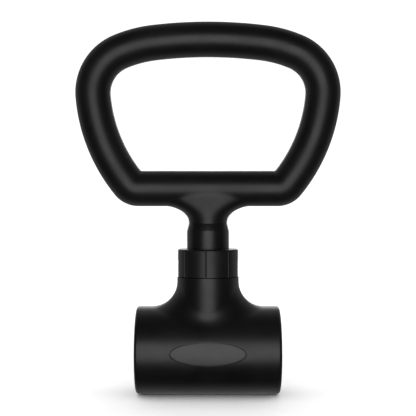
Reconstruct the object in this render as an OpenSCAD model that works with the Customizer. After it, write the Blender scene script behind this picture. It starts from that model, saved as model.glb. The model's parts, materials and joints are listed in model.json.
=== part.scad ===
// Kettlebell-style handle that clamps round the bar of a dumbbell.
// X runs along the bar, -Y is the front and +Z points up the handle.
// The origin is the centre of the bar's bore.

/* [Handle loop] */
// Radius of the moulded grip
grip_r = 14.15; // [13:0.05:14.3]
// Height of the top rail's centre line
loop_top_z = 248.4; // [246:0.1:260]
// Bend radius of the top rail
top_bend_r = 360; // [350:1:370]
// Bend radius of the shoulders
shoulder_bend_r = 99; // [96:0.5:102]
// Bend radius of the upper corners
corner_bend_r = 35.5; // [34:0.5:37]
// Bend radius of the sides
side_bend_r = 128.5; // [126:0.5:131]
// Bend radius of the lower elbows
elbow_bend_r = 15.2; // [15:0.1:16]
// Angle above the horizontal at which the top rail meets the shoulder
shoulder_a = 83; // [82:0.5:84]
// Angle at which the shoulder meets the corner
corner_a = 67; // [66:0.5:68]
// Angle at which the corner meets the side
side_a = -5; // [-7:0.5:-3]
// Angle at which the side meets the elbow
elbow_a = -38.2; // [-39:0.1:-37]
// Radius of the steel rod inside the grip
core_r = 6; // [4:0.5:8]

/* [Neck and stem] */
// Radius of the grip moulding's neck
skin_neck_r = 15.2; // [14:0.1:16]
// Height at which the grip moulding starts
skin_bottom_z = 101.1; // [101.1:0.1:102]
// How far the neck swells sideways where it meets the lower rail
swell_w = 20; // [14:1:24]
// Height of that swelling
swell_h = 13.2; // [12:0.1:13.5]
// Radius of the steel stem
stem_r = 9; // [8:0.5:10]
// Radius of the stem's threaded shank
shank_r = 6; // [5:0.5:6]
// Radius of the sleeve that the collar slides on
sleeve_r = 16.75; // [16.5:0.05:16.8]
// Height at which the sleeve's top chamfer starts
sleeve_chamfer_z = 95.4; // [95:0.1:97]
// Height of the sleeve's top
sleeve_top_z = 101; // [100:0.1:101]
// Radius of the cross pin
cross_pin_r = 2; // [1.5:0.5:2.5]
// Height of the cross pin
cross_pin_z = 56; // [55:0.5:57]

/* [Spigot] */
// Radius of the spigot between its threads
spigot_r = 19; // [18.5:0.1:19]
// Height of the spigot's foot
spigot_bottom_z = 31; // [30:0.5:32]
// Height of the spigot's top
spigot_top_z = 73.2; // [72:0.1:73.4]
// Height of the ledge that the sleeve stands on
ledge_top_z = 52; // [51:0.5:53]
// Thickness of that ledge
ledge_t = 4; // [3:0.5:5]
// Radius of the nut's pocket under the ledge
nut_pocket_r = 13.2; // [13:0.1:14]
// Distance of each screw ear's hole from the middle
ear_x = 23.8; // [23.6:0.1:24]
// Height of the ear's hole
ear_z = 33.8; // [33.5:0.1:34]

/* [Screw thread] */
// Number of thread starts
thread_starts = 3; // [2:1:4]
// Lift of the collar in one turn
thread_lead = 15; // [15:1:16]
// Radius of the spigot's thread crests
thread_crest_r = 20.2; // [19.8:0.1:20.2]
// Width of a thread at its foot
thread_foot_w = 2.8; // [2:0.1:2.8]
// Width of a thread at its crest
thread_tip_w = 1.2; // [0.8:0.1:1.4]

/* [Collar] */
// Radius of the collar
collar_r = 24; // [23.8:0.1:24.4]
// Height of the collar's lower edge when locked
collar_bottom_z = 58.8; // [58.8:0.1:59]
// Height of the collar's top when locked
collar_top_z = 80.6; // [80:0.1:81]
// Thickness of the web at the collar's top
web_t = 4; // [3.5:0.1:4]
// Radius of the collar's bore
collar_bore_r = 20.55; // [20.5:0.05:20.6]
// Number of finger grooves
groove_count = 8; // [6:1:12]
// Turn of the first groove from the front
groove_a = -4; // [-22:1:22]

/* [Jaws] */
// Length of the barrel
barrel_l = 114; // [112:1:118]
// Radius of the barrel
barrel_r = 34.8; // [34.5:0.1:35.5]
// Radius of the barrel's end edges
barrel_edge_r = 2.4; // [1:0.1:2.6]
// Thickness of the barrel's outer wall
wall_t = 3; // [2.5:0.1:3.2]
// Radius of the dumbbell bar that the liners grip
bar_r = 18; // [17:0.5:18.5]
// Thickness of the rubber liners
liner_t = 3.95; // [3:0.05:3.95]
// Radius of the jaws' neck
neck_r = 24.6; // [24.4:0.1:24.8]
// Height of the neck's rim
neck_top_z = 58.5; // [58:0.1:58.5]
// Radius of the blend between the neck and the barrel
blend_r = 20; // [16:0.5:20]
// Slope of the locking lip on the rim
lip_a = 15; // [10:1:16]

/* [Hinge] */
// Number of hinge knuckles
knuckle_count = 12; // [8:2:12]
// Radius of a knuckle
knuckle_r = 4.6; // [4.2:0.1:4.6]
// Height of the hinge's axis
hinge_z = -30; // [-30:0.1:-29.8]
// Radius of the hinge pin
pin_r = 2; // [1.5:0.1:2.2]
// Largest opening of the rear jaw
open_a = 70; // [45:1:72]
// How far the front knuckles' straps stand proud of the barrel
strap_h = 0.2; // [0.1:0.05:0.4]

/* [Badge] */
// Half length of the oval badge
badge_a = 29.2; // [24:0.1:32]
// Half height of the oval badge
badge_b = 9; // [7:0.1:10]
// Height of the badge's centre
badge_z = 1.5; // [-2:0.1:3]

/* [Hidden] */
$fn = 96;

// Clearances: between fixed pieces, round the hinge pin, and between pieces that move
snug = 0.05;
play = 0.3;
// Half of the gap between the two jaws
parting = 0.1;
// Length by which a cutting shape runs past what it cuts
past = 1;

// Colours
grip_black = [0.07, 0.07, 0.075];
shell_black = [0.09, 0.09, 0.095];
collar_black = [0.12, 0.12, 0.125];
badge_grey = [0.22, 0.22, 0.23];
rubber_black = [0.16, 0.15, 0.15];
steel = [0.66, 0.67, 0.69];
zinc = [0.78, 0.78, 0.74];

// Tangent arcs share the line through both centres at the angle where they meet
function next_centre(c, from_r, to_r, a) = c + (from_r - to_r) * [cos(a), sin(a)];
top_c = [0, loop_top_z - top_bend_r];
shoulder_c = next_centre(top_c, top_bend_r, shoulder_bend_r, shoulder_a);
corner_c = next_centre(shoulder_c, shoulder_bend_r, corner_bend_r, corner_a);
side_c = next_centre(corner_c, corner_bend_r, side_bend_r, side_a);
elbow_c = next_centre(side_c, side_bend_r, elbow_bend_r, elbow_a);
rail_z = elbow_c.y - elbow_bend_r;

// Weld rings that join one bend to the next
weld_h = 0.03;
weld_l = 0.2;

// Stem stack under the ledge
washer_t = 2.5;
nut_h = 12;
ledge_bottom_z = ledge_top_z - ledge_t;
nut_top_z = ledge_bottom_z - washer_t;
shank_bottom_z = nut_top_z - nut_h - 0.5;

// Screw ears
ear_t = 2.5;
ear_r = 3.5;
ear_back_y = -2.7;
screw_r = 2;
screw_l = 7.5;
screw_head_r = 3.5;
screw_head_h = 2.4;

// Key between the sleeve and the slip washer
key_slot_w = 5;
key_slot_depth = 1.75;
key_w = 4.2;
key_r = sleeve_r - key_slot_depth + 0.4;

// Pieces under the collar's web
web_bottom_z = collar_top_z - web_t;
slip_washer_t = 1.1;
slip_washer_top_z = web_bottom_z - 0.2;
clip_t = 1.1;
clip_top_z = slip_washer_top_z - slip_washer_t - 0.25;
clip_r = 21.7;

// Thread
thread_pitch = thread_lead / thread_starts;
thread_step_a = 10;
thread_sink = 0.4;
male_thread_z = 61.2;
male_thread_a = 210;
female_thread_a = 100;
female_crest_r = spigot_r + 0.35;

// Jaws
half_l = barrel_l / 2;
seat_r = bar_r + liner_t + snug;
tube_r = seat_r + 3;
hollow_r = barrel_r - wall_t;
end_wall_t = 3.5;
rib_t = 2;
rib_xs = [-36, -18, 18, 36];
bay_edges = concat([-half_l + end_wall_t - rib_t / 2], rib_xs, [half_l - end_wall_t + rib_t / 2]);
neck_bore_r = spigot_r + play;
hinge_block_y = 9;
lip_inner_r = neck_bore_r;
lip_outer_r = 22.8;

// Hinge
span_l = barrel_l / knuckle_count;
knuckle_gap = 0.3;
pocket_r = knuckle_r + 0.4;
relief_a = open_a / 2 + 2;
pin_head_r = 2.8;
pin_head_h = 1.2;
sink_r = pin_head_r + play;
sink_depth = 1.6;

// Dowels
dowel_r = 2;
dowel_x = 45;
dowel_z = (tube_r + hollow_r) / 2;
dowel_boss_r = 3.9;
dowel_boss_l = 12;
dowel_reach = 3;

// Badge
badge_floor_y = -33;
badge_gap = 0.4;
badge_face_r = 40;
badge_face_y = -34.7;

// Round bar bent in the XZ plane
module bar_arc(c, bend_r, from_a, to_a, r) {
  translate([c.x, 0, c.y])
    rotate([90, 0, 0])
      rotate([0, 0, from_a])
        rotate_extrude(angle = to_a - from_a)
          translate([bend_r, 0])
            circle(r = r);
}

// Weld ring where two bends meet: a short cylinder along the bar, a hair larger than it
module weld_ring(c, bend_r, a, r) {
  translate([c.x, 0, c.y])
    rotate([0, -a, 0])
      translate([bend_r, 0, 0])
        cylinder(r = r + weld_h, h = weld_l, center = true);
}

// The open loop above the lower rail
module bow(r) {
  bar_arc(top_c, top_bend_r, shoulder_a, 180 - shoulder_a, r);
  for (side = [0, 1])
    mirror([side, 0, 0]) {
      bar_arc(shoulder_c, shoulder_bend_r, corner_a, shoulder_a, r);
      bar_arc(corner_c, corner_bend_r, side_a, corner_a, r);
      bar_arc(side_c, side_bend_r, elbow_a, side_a, r);
      bar_arc(elbow_c, elbow_bend_r, -90, elbow_a, r);
      weld_ring(shoulder_c, shoulder_bend_r, shoulder_a, r);
      weld_ring(corner_c, corner_bend_r, corner_a, r);
      weld_ring(side_c, side_bend_r, side_a, r);
      weld_ring(elbow_c, elbow_bend_r, elbow_a, r);
    }
}

module x_cylinder(r, l, z = 0) {
  translate([0, 0, z])
    rotate([0, 90, 0])
      cylinder(r = r, h = l, center = true);
}

// Straight bar between the two elbows
module rail(r) {
  x_cylinder(r, 2 * elbow_c.x, rail_z);
}

// The bow and the rail as one closed loop
module loop(r) {
  bow(r);
  rail(r);
  for (side = [0, 1])
    mirror([side, 0, 0])
      weld_ring(elbow_c, elbow_bend_r, -90, r);
}

// Webs that spread the neck sideways into the lower rail, as a stack of ellipses.
// They start inside the neck and end inside the rail.
swell_d = 11;
swell_sink = 0.5;
swell_sides = 32;
swell_rings = concat(
  [for (a = [0:15:90]) [
    skin_neck_r - swell_sink + (swell_w + swell_sink) * (1 - cos(a)),
    skin_bottom_z + swell_sink + swell_h * sin(a)
  ]],
  [[skin_neck_r + swell_w, rail_z - 4]]
);
module neck_swell() {
  points = [for (ring = swell_rings) for (i = [0:swell_sides - 1])
    let (a = i * 360 / swell_sides) [ring[0] * cos(a), swell_d * sin(a), ring[1]]];
  last = len(swell_rings) - 1;
  walls = [for (k = [0:last - 1]) for (i = [0:swell_sides - 1])
    let (m = (i + 1) % swell_sides)
    [k * swell_sides + i, (k + 1) * swell_sides + i, (k + 1) * swell_sides + m, k * swell_sides + m]];
  bottom = [for (i = [0:swell_sides - 1]) i];
  top = [for (i = [swell_sides - 1:-1:0]) last * swell_sides + i];
  polyhedron(points = points, faces = concat([bottom], walls, [top]), convexity = 4);
}

// Round neck that tapers where it runs into the rail
module skin_neck() {
  taper_z = rail_z - grip_r;
  rotate_extrude()
    polygon([
      [0, skin_bottom_z],
      [skin_neck_r, skin_bottom_z],
      [skin_neck_r, taper_z],
      [grip_r - 0.7, rail_z],
      [0, rail_z]
    ]);
}

module grip_skin() {
  color(grip_black)
    difference() {
      union() {
        loop(grip_r);
        skin_neck();
        neck_swell();
      }
      loop(core_r + snug);
      translate([0, 0, skin_bottom_z - past])
        cylinder(r = stem_r + snug, h = rail_z - skin_bottom_z + past);
    }
}

module bow_core() {
  color(steel)
    bow(core_r);
}

module rail_core() {
  color(steel)
    rail(core_r);
}

module cross_pin_hole() {
  x_cylinder(cross_pin_r + snug, 4 * spigot_r, cross_pin_z);
}

// Stem with a shoulder on the ledge and a saddle under the lower rail's core
module stem() {
  color(steel)
    difference() {
      union() {
        translate([0, 0, ledge_top_z])
          cylinder(r = stem_r, h = rail_z - ledge_top_z);
        translate([0, 0, shank_bottom_z])
          cylinder(r = shank_r, h = ledge_top_z - shank_bottom_z);
      }
      rail(core_r + snug);
      cross_pin_hole();
    }
}

module neck_sleeve() {
  color(shell_black)
    difference() {
      rotate_extrude()
        polygon([
          [stem_r + snug, ledge_top_z],
          [sleeve_r, ledge_top_z],
          [sleeve_r, sleeve_chamfer_z],
          [skin_neck_r, sleeve_top_z],
          [stem_r + snug, sleeve_top_z]
        ]);
      translate([-key_slot_w / 2, sleeve_r - key_slot_depth, ledge_top_z - past])
        cube([key_slot_w, 2 * key_slot_depth, sleeve_top_z - ledge_top_z - 2]);
      cross_pin_hole();
    }
}

module cross_pin() {
  color(steel)
    x_cylinder(cross_pin_r, 2 * spigot_r - 0.4, cross_pin_z);
}

module stem_washer() {
  color(zinc)
    translate([0, 0, nut_top_z])
      difference() {
        cylinder(r = nut_pocket_r - 0.4, h = washer_t);
        translate([0, 0, -past])
          cylinder(r = shank_r + 0.4, h = washer_t + 2 * past);
      }
}

// Lock nut: a hexagon with a round collar below
module stem_nut() {
  across_flats = 19;
  hex_h = 9.5;
  color(zinc)
    translate([0, 0, nut_top_z - nut_h])
      difference() {
        union() {
          translate([0, 0, nut_h - hex_h])
            cylinder(r = across_flats / sqrt(3), h = hex_h, $fn = 6);
          cylinder(r = across_flats / 2 - 1, h = nut_h);
        }
        translate([0, 0, -past])
          cylinder(r = shank_r + snug, h = nut_h + 2 * past);
      }
}

// One start of a thread: a ridge of trapezoid section along a helix
module thread_start(foot_r, crest_r, from_a, turn_a, z) {
  steps = round(turn_a / thread_step_a);
  ridge = sign(crest_r - foot_r);
  points = [for (i = [0:steps])
    let (
      a = from_a + i * turn_a / steps,
      mid_z = z + thread_lead * i * turn_a / steps / 360,
      end = i == 0 || i == steps,
      r = end ? foot_r + ridge * (thread_sink + 0.1) : crest_r
    )
    for (corner = [[foot_r, -thread_foot_w / 2], [r, -thread_tip_w / 2],
                   [r, thread_tip_w / 2], [foot_r, thread_foot_w / 2]])
      [corner[0] * cos(a), corner[0] * sin(a), mid_z + corner[1]]];
  walls = [for (i = [0:steps - 1]) for (j = [0:3])
    [4 * i + j, 4 * i + (j + 1) % 4, 4 * (i + 1) + (j + 1) % 4, 4 * (i + 1) + j]];
  start = [3, 2, 1, 0];
  finish = [for (j = [0:3]) 4 * steps + j];
  faces = concat([start], walls, [finish]);
  flip = ridge > 0 ? faces : [for (f = faces) [for (j = [len(f) - 1:-1:0]) f[j]]];
  polyhedron(points = points, faces = flip, convexity = 6);
}

module male_thread() {
  for (i = [0:thread_starts - 1])
    thread_start(spigot_r - thread_sink, thread_crest_r, i * 360 / thread_starts,
                 male_thread_a, male_thread_z);
}

// The collar's ridges lie half a pitch above the spigot's
module female_thread() {
  for (i = [0:thread_starts - 1])
    thread_start(collar_bore_r + thread_sink, female_crest_r, i * 360 / thread_starts,
                 female_thread_a, male_thread_z + thread_pitch / 2);
}

module threaded_spigot() {
  color(steel)
    difference() {
      union() {
        rotate_extrude()
          polygon([
            [nut_pocket_r, spigot_bottom_z],
            [spigot_r, spigot_bottom_z],
            [spigot_r, spigot_top_z - 0.6],
            [spigot_r - 0.6, spigot_top_z],
            [sleeve_r + snug, spigot_top_z],
            [sleeve_r + snug, ledge_top_z],
            [shank_r + 0.1, ledge_top_z],
            [shank_r + 0.1, ledge_bottom_z],
            [nut_pocket_r, ledge_bottom_z]
          ]);
        male_thread();
        for (side = [0, 1])
          mirror([side, 0, 0])
            spigot_ear();
      }
      cross_pin_hole();
    }
}

module spigot_ear() {
  root_x = nut_pocket_r + 1;
  difference() {
    union() {
      translate([root_x, ear_back_y - ear_t, ear_z - ear_r])
        cube([ear_x - root_x, ear_t, 2 * ear_r]);
      y_cylinder(ear_x, ear_z, ear_r, ear_back_y - ear_t, ear_back_y);
    }
    y_cylinder(ear_x, ear_z, screw_r + 0.2, ear_back_y - ear_t - past, ear_back_y + past);
  }
}

module y_cylinder(x, z, r, from_y, to_y) {
  translate([x, to_y, z])
    rotate([90, 0, 0])
      cylinder(r = r, h = to_y - from_y);
}

// Two socket-head screws that hold the spigot in the front jaw
module spigot_screws() {
  socket_w = 3;
  color(zinc)
    for (side = [0, 1])
      mirror([side, 0, 0])
        difference() {
          union() {
            y_cylinder(ear_x, ear_z, screw_r, ear_back_y - screw_l, ear_back_y);
            y_cylinder(ear_x, ear_z, screw_head_r, ear_back_y, ear_back_y + screw_head_h);
          }
          translate([ear_x, ear_back_y + screw_head_h + past, ear_z])
            rotate([90, 0, 0])
              cylinder(r = socket_w / sqrt(3), h = screw_head_h / 2 + past, $fn = 6);
        }
}

// Barrel as a solid of revolution with rounded end edges
module barrel_blank(r) {
  edge = [for (a = [0:15:90]) [
    half_l - barrel_edge_r + barrel_edge_r * sin(a),
    r - barrel_edge_r + barrel_edge_r * cos(a)
  ]];
  profile = concat([for (p = edge) [p[1], p[0]]],
                   [[0, half_l], [0, -half_l]],
                   [for (i = [len(edge) - 1:-1:0]) [edge[i][1], -edge[i][0]]]);
  rotate([0, 90, 0])
    rotate_extrude()
      polygon(profile);
}

// Blend rolled round the joint of neck and barrel: a ball of radius blend_r that touches both.
// It is sunk a little into both, so that it meets them at an angle.
blend_sink = 0.3;
blend_sides = 36;
blend_arc = 6;
ball_neck_r = neck_r + blend_r;
ball_barrel_r = barrel_r + blend_r;
function ball_centre(a) = [
  ball_neck_r * cos(a),
  ball_neck_r * sin(a),
  sqrt(ball_barrel_r * ball_barrel_r - pow(ball_neck_r * sin(a), 2))
];
function unit(v) = v / norm(v);
function blend_section(a) =
  let (
    c = ball_centre(a),
    to_neck = [-cos(a), -sin(a), 0],
    to_barrel = -unit([0, c.y, c.z]),
    full = acos(to_neck * to_barrel),
    side = unit(to_barrel - cos(full) * to_neck),
    r = blend_r + blend_sink
  )
  concat(
    [[spigot_r * cos(a), spigot_r * sin(a), c.z + 2]],
    [[(neck_r - blend_sink) * cos(a), (neck_r - blend_sink) * sin(a), c.z + 2]],
    [for (i = [0:blend_arc]) let (t = full * i / blend_arc) c + r * (cos(t) * to_neck + sin(t) * side)],
    [[spigot_r * cos(a), spigot_r * sin(a), spigot_r / 2]]
  );
module neck_blend() {
  sections = [for (i = [0:blend_sides - 1]) blend_section(i * 360 / blend_sides)];
  n = len(sections[0]);
  points = [for (s = sections) for (p = s) p];
  faces = [for (k = [0:blend_sides - 1]) for (j = [0:n - 1])
    let (m = (k + 1) % blend_sides, i = (j + 1) % n)
    each [[k * n + j, m * n + i, k * n + i], [k * n + j, m * n + j, m * n + i]]];
  polyhedron(points = points, faces = faces, convexity = 6);
}

// Outside of both jaws together
module jaws_outside() {
  barrel_blank(barrel_r);
  neck_blend();
  cylinder(r = neck_r, h = neck_top_z);
  translate([0, 0, neck_top_z - past])
    rotate_extrude()
      polygon([
        [0, 0],
        [lip_outer_r, 0],
        [lip_outer_r, past],
        [lip_inner_r, past + (lip_outer_r - lip_inner_r) * tan(lip_a)],
        [0, past + (lip_outer_r - lip_inner_r) * tan(lip_a)]
      ]);
}

// Hollows round the liner's tube, between the ribs
module barrel_hollow() {
  difference() {
    for (i = [0:len(bay_edges) - 2]) {
      from_x = bay_edges[i] + rib_t / 2;
      to_x = bay_edges[i + 1] - rib_t / 2;
      translate([(from_x + to_x) / 2, 0, 0])
        x_cylinder(hollow_r, to_x - from_x);
    }
    translate([-half_l, -hinge_block_y, -barrel_r])
      cube([barrel_l, 2 * hinge_block_y, barrel_r]);
  }
}

// Room for the spigot, its ears and the nut
module neck_hollow() {
  pocket_y = 8;
  cylinder(r = neck_bore_r, h = neck_top_z + 3);
  translate([0, pocket_y, 0])
    rotate([90, 0, 0])
      linear_extrude(2 * pocket_y)
        for (side = [0, 1])
          mirror([side, 0])
            polygon([[-1, 24], [29.5, 24], [29.5, 33], [25.5, 38], [21, 43], [-1, 43]]);
}

module ear_bosses() {
  for (x = [-ear_x, ear_x])
    y_cylinder(x, ear_z, ear_r + 1.1, -barrel_r, ear_back_y - ear_t - 0.1);
}

module dowel_bosses(side) {
  at_dowels()
    y_cylinder(0, 0, dowel_boss_r, side > 0 ? 0 : -dowel_boss_l, side > 0 ? dowel_boss_l : 0);
}

// One jaw as a hollow body with its bosses and the liner's seat through it
module jaw(side) {
  difference() {
    intersection() {
      jaws_outside();
      half_space(side);
    }
    difference() {
      union() {
        barrel_hollow();
        neck_hollow();
      }
      x_cylinder(tube_r, barrel_l + 2 * past);
      dowel_bosses(side);
      if (side < 0) ear_bosses();
    }
    x_cylinder(seat_r, barrel_l + 2 * past);
  }
}

// Everything on one side of the parting plane: side is -1 for the front and 1 for the rear
module half_space(side) {
  size = 4 * barrel_l;
  translate([-size / 2, side > 0 ? parting : -parting - size, -size / 2])
    cube([size, size, size]);
}

// Each jaw owns every second knuckle: the rear has the leftmost and the front the rightmost
function span_owner(i) = i % 2 == 0 ? 1 : -1;
function span_x(i) = -half_l + (i + 0.5) * span_l;
module each_span(side) {
  for (i = [0:knuckle_count - 1])
    if (span_owner(i) == side)
      translate([span_x(i), 0, 0])
        children();
}

module knuckles(side) {
  intersection() {
    union()
      each_span(side)
        x_cylinder(knuckle_r, span_l - knuckle_gap, hinge_z);
    barrel_blank(barrel_r);
  }
}

// Wedge below the hinge that lets the jaws' lower edges swing past each other
module hinge_relief() {
  depth = barrel_r;
  translate([-half_l - past, 0, hinge_z])
    rotate([90, 0, 90])
      linear_extrude(barrel_l + 2 * past)
        polygon([[0, 0], [-depth * tan(relief_a), -depth], [depth * tan(relief_a), -depth]]);
}

module pin_hole() {
  x_cylinder(pin_r + snug, barrel_l + 2 * past, hinge_z);
  for (side = [-1, 1])
    translate([side * half_l, 0, 0])
      x_cylinder(sink_r, 2 * sink_depth, hinge_z);
}

// One jaw with its knuckles, before the details that only one jaw has
module jaw_half(side) {
  difference() {
    union() {
      difference() {
        jaw(side);
        hinge_relief();
        each_span(-side)
          x_cylinder(pocket_r, span_l, hinge_z);
      }
      knuckles(side);
    }
    pin_hole();
  }
}

module at_dowels() {
  for (x = [-dowel_x, dowel_x])
    translate([x, 0, dowel_z])
      children();
}

module oval(a, b) {
  polygon([for (t = [0:6:354]) [a * cos(t), b * sin(t)]]);
}

// Oval prism that runs forwards from the badge's floor
module badge_prism(grow, depth) {
  translate([0, badge_floor_y, badge_z])
    rotate([90, 0, 0])
      linear_extrude(depth)
        oval(badge_a + grow, badge_b + grow);
}

module badge() {
  color(badge_grey)
    intersection() {
      badge_prism(0, barrel_r);
      translate([0, badge_face_y + badge_face_r, 0])
        x_cylinder(badge_face_r, barrel_l, $fn = 240);
    }
}

// Straps that carry the front knuckles, a little proud of the barrel
module knuckle_straps() {
  strap_l = span_l - knuckle_gap;
  strap_y = 10;
  difference() {
    intersection() {
      barrel_blank(barrel_r + strap_h);
      union()
        each_span(-1)
          translate([-strap_l / 2, -strap_y, -2 * barrel_r])
            cube([strap_l, strap_y - parting, 2 * barrel_r]);
    }
    x_cylinder(hollow_r + 1, barrel_l + 2 * past);
    hinge_relief();
  }
}

module front_shell() {
  color(shell_black)
    difference() {
      union() {
        jaw_half(-1);
        knuckle_straps();
      }
      for (x = [-ear_x, ear_x])
        y_cylinder(x, ear_z, screw_r + snug, ear_back_y - screw_l - 0.5, ear_back_y);
      at_dowels()
        y_cylinder(0, 0, dowel_r + snug, -dowel_boss_l + 2, past);
      badge_prism(badge_gap, barrel_r);
    }
}

module rear_shell() {
  color(shell_black)
    difference() {
      jaw_half(1);
      at_dowels()
        y_cylinder(0, 0, dowel_r + 0.5, -past, dowel_reach + 1.5);
    }
}

module liner(side) {
  color(rubber_black)
    intersection() {
      difference() {
        x_cylinder(bar_r + liner_t, barrel_l - 0.8);
        x_cylinder(bar_r, barrel_l);
      }
      half_space(side);
    }
}

module front_liner() {
  liner(-1);
}

module rear_liner() {
  liner(1);
}

module locating_dowels() {
  color(steel)
    at_dowels()
      y_cylinder(0, 0, dowel_r, -dowel_boss_l + 2.5, dowel_reach);
}

pin_end_x = half_l - 0.4;
module hinge_pin() {
  color(steel) {
    x_cylinder(pin_r, 2 * pin_end_x, hinge_z);
    translate([pin_end_x - pin_head_h / 2, 0, 0])
      x_cylinder(pin_head_r, pin_head_h, hinge_z);
  }
}

module pin_star_washer() {
  star_t = 0.8;
  color(zinc)
    translate([-pin_end_x + star_t / 2 + 0.2, 0, 0])
      difference() {
        x_cylinder(pin_head_r, star_t, hinge_z);
        x_cylinder(pin_r + snug, 2 * star_t, hinge_z);
      }
}

// Washer under the collar's web, keyed to the sleeve so that it slides but can't turn
module slip_washer() {
  color(zinc)
    translate([0, 0, slip_washer_top_z - slip_washer_t]) {
      difference() {
        cylinder(r = collar_bore_r - 0.35, h = slip_washer_t);
        translate([0, 0, -past])
          cylinder(r = sleeve_r + play, h = slip_washer_t + 2 * past);
      }
      translate([-key_w / 2, key_r, 0])
        cube([key_w, sleeve_r + 1 - key_r, slip_washer_t]);
    }
}

module collar_circlip() {
  gap_a = 40;
  color(steel)
    translate([0, 0, clip_top_z - clip_t])
      rotate([0, 0, 90 + gap_a / 2])
        rotate_extrude(angle = 360 - gap_a)
          translate([sleeve_r + 2.5, 0])
            square([clip_r - sleeve_r - 2.5, clip_t]);
}

module lock_collar() {
  lip_play_r = lip_outer_r + play;
  recess_top_z = collar_bottom_z + (lip_play_r - collar_bore_r) * tan(lip_a);
  clip_groove_z = clip_top_z - clip_t - 0.1;
  clip_groove_r = clip_r + play;
  groove_w = 1.4;
  groove_depth = 0.5;
  color(collar_black)
    difference() {
      union() {
        rotate_extrude()
          polygon([
            [lip_play_r, collar_bottom_z],
            [collar_r - 0.4, collar_bottom_z],
            [collar_r, collar_bottom_z + 0.4],
            [collar_r, collar_top_z - 1],
            [collar_r - 0.3, collar_top_z - 0.3],
            [collar_r - 1, collar_top_z],
            [sleeve_r + play, collar_top_z],
            [sleeve_r + play, web_bottom_z],
            [collar_bore_r, web_bottom_z],
            [collar_bore_r, clip_top_z + 0.1],
            [clip_groove_r, clip_top_z + 0.1],
            [clip_groove_r, clip_groove_z],
            [collar_bore_r, clip_groove_z],
            [collar_bore_r, recess_top_z]
          ]);
        female_thread();
      }
      for (i = [0:groove_count - 1])
        rotate([0, 0, -90 + groove_a + i * 360 / groove_count])
          translate([collar_r - groove_depth, -groove_w / 2, collar_bottom_z - past])
            cube([past, groove_w, collar_top_z - collar_bottom_z - 1 + past]);
    }
}

grip_skin();
bow_core();
rail_core();
stem();
neck_sleeve();
cross_pin();
stem_washer();
stem_nut();
threaded_spigot();
spigot_screws();
front_shell();
front_liner();
badge();
locating_dowels();
hinge_pin();
pin_star_washer();
slip_washer();
lock_collar();
collar_circlip();
rear_shell();
rear_liner();
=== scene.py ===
"""Looks of the kettlebell-style handle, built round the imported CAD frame.

Shapes are made in millimetres in the CAD's own frame and scaled to metres when a piece is finished.
"""
import json
import math

import bpy
import numpy as np
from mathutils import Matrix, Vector


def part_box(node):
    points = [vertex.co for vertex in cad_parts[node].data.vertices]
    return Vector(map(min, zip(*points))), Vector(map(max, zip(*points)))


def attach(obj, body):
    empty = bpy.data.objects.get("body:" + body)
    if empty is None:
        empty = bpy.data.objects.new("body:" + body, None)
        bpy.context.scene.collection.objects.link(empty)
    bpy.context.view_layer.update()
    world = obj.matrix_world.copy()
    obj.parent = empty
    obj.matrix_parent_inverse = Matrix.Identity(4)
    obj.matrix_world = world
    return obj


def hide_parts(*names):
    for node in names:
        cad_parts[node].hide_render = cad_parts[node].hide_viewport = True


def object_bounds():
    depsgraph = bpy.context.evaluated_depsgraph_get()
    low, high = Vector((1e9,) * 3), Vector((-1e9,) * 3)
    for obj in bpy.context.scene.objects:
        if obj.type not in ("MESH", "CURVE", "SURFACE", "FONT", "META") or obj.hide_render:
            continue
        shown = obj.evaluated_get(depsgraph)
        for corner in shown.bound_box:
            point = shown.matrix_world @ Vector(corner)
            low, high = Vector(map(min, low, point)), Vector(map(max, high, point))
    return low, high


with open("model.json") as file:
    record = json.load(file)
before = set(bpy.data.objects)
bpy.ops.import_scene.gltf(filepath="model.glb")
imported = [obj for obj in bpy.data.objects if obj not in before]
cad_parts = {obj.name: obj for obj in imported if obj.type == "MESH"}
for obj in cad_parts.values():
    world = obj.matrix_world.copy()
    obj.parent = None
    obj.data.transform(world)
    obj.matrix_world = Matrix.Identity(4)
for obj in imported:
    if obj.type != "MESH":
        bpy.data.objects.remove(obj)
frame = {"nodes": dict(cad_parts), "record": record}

MM = 0.001
# How far a cutter runs past what it cuts, and a radius that counts as none
PAST = 2.0
TINY = 1e-9
scene = bpy.context.scene
cad_box = [list(corner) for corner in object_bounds()]


def node_box(node):
    """A CAD node's lowest and highest corner in millimetres."""
    low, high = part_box(node)
    return np.array(low) / MM, np.array(high) / MM


# ---------------------------------------------------------------- mesh helpers

def raw_object(name, verts, faces):
    mesh = bpy.data.meshes.new(name)
    mesh.from_pydata([tuple(v) for v in verts], [], [tuple(int(i) for i in f) for f in faces])
    mesh.update()
    obj = bpy.data.objects.new(name, mesh)
    scene.collection.objects.link(obj)
    return obj


def signed_volume(verts, faces):
    total = 0.0
    for face in faces:
        a = verts[face[0]]
        for i in range(1, len(face) - 1):
            total += np.dot(a, np.cross(verts[face[i]], verts[face[i + 1]]))
    return total


def outward(verts, faces):
    verts = np.asarray(verts, float)
    if signed_volume(verts, faces) < 0:
        faces = [list(face)[::-1] for face in faces]
    return verts, faces


def turned(points, axis):
    """Points made round Z, laid along another axis."""
    points = np.asarray(points, float)
    if axis == "x":
        return points[:, [2, 0, 1]]
    if axis == "y":
        return points[:, [1, 2, 0]]
    return points


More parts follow.
